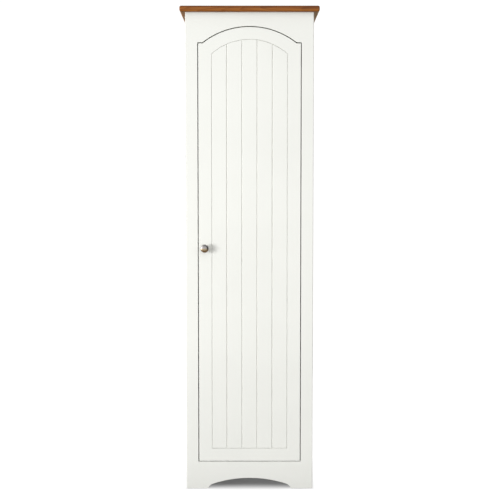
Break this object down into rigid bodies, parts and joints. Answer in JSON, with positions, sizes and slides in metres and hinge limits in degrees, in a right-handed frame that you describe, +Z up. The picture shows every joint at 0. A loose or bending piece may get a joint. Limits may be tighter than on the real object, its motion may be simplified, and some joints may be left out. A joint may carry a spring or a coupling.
{
  "type": "pantry cabinet",
  "caption": "Tall narrow painted pantry cabinet with an arched beadboard door on concealed hinges, inner shelves and a moulded oak-stained top.",
  "frame": {"origin": "on the floor, at the middle of the overall box in plan", "axes": "+Z up, -Y the way the door faces, +X towards the hinge side"},
  "size_m": [0.514, 0.423, 1.8],
  "materials": {
    "front_paint": "satin white paint on the face frame and door",
    "case_paint": "satin white paint on the case boards and shelves",
    "oak": "oak veneer, medium brown stain, satin lacquer",
    "pewter": "satin pewter knob",
    "nickel": "nickel-plated steel hardware",
    "white_plastic": "moulded white plastic",
    "nylon": "grey nylon"
  },
  "bodies": {
    "cabinet": {"top_board": "oak", "side_panel_left": "case_paint", "side_panel_right": "case_paint", "bottom_panel": "case_paint", "sub_top": "case_paint", "back_panel": "case_paint", "wall_fixing_rail": "case_paint", "hinge_batten": "case_paint", "frame_stile_left": "front_paint", "frame_stile_right": "front_paint", "frame_top_rail": "front_paint", "frame_bottom_rail": "front_paint", "fixed_shelf": "case_paint", "adjustable_shelf_1": "case_paint", "adjustable_shelf_2": "case_paint", "adjustable_shelf_3": "case_paint", "shelf_pin_1_left_front": "nickel", "shelf_pin_1_left_rear": "nickel", "shelf_pin_1_right_front": "nickel", "shelf_pin_1_right_rear": "nickel", "shelf_pin_2_left_front": "nickel", "shelf_pin_2_left_rear": "nickel", "shelf_pin_2_right_front": "nickel", "shelf_pin_2_right_rear": "nickel", "shelf_pin_3_left_front": "nickel", "shelf_pin_3_left_rear": "nickel", "shelf_pin_3_right_front": "nickel", "shelf_pin_3_right_rear": "nickel", "glide_left_front": "nylon", "glide_left_rear": "nylon", "glide_right_front": "nylon", "glide_right_rear": "nylon", "hinge_plate_1": "nickel", "hinge_plate_2": "nickel", "hinge_plate_3": "nickel", "hinge_arm_1": "nickel", "hinge_arm_2": "nickel", "hinge_arm_3": "nickel", "magnetic_catch": "white_plastic"},
    "door": {"door_stile_left": "front_paint", "door_stile_right": "front_paint", "door_top_rail": "front_paint", "door_bottom_rail": "front_paint", "door_plank_1": "front_paint", "door_plank_2": "front_paint", "door_plank_3": "front_paint", "door_plank_4": "front_paint", "door_plank_5": "front_paint", "knob": "pewter", "knob_screw": "nickel", "catch_strike_plate": "nickel", "hinge_cup_1": "nickel", "hinge_cup_2": "nickel", "hinge_cup_3": "nickel"},
    "hinge_inner_links": {"hinge_link_inner_1": "nickel", "hinge_link_inner_2": "nickel", "hinge_link_inner_3": "nickel"},
    "hinge_outer_links": {"hinge_link_outer_1": "nickel", "hinge_link_outer_2": "nickel", "hinge_link_outer_3": "nickel"}
  },
  "joints": [
    {"name": "door_hinge", "type": "hinge", "parent": "cabinet", "child": "door", "pos_m": [0.19075, -0.1835, 0.86], "axis": [0, 0, 1], "range_deg": [0, 100]},
    {"name": "inner_link_pivot", "type": "hinge", "parent": "cabinet", "child": "hinge_inner_links", "pos_m": [0.1715, -0.1655, 0.86], "axis": [0, 0, 1], "range_deg": [0, 85.1]},
    {"name": "outer_link_pivot", "type": "hinge", "parent": "door", "child": "hinge_outer_links", "pos_m": [0.1665, -0.1687, 0.86], "axis": [0, 0, 1], "range_deg": [-101.3, 0]}
  ],
  "couplings": [
    {"joint": "inner_link_pivot", "follows": "door_hinge", "ratio": 0.849},
    {"joint": "outer_link_pivot", "follows": "door_hinge", "ratio": -1.011}
  ]
}
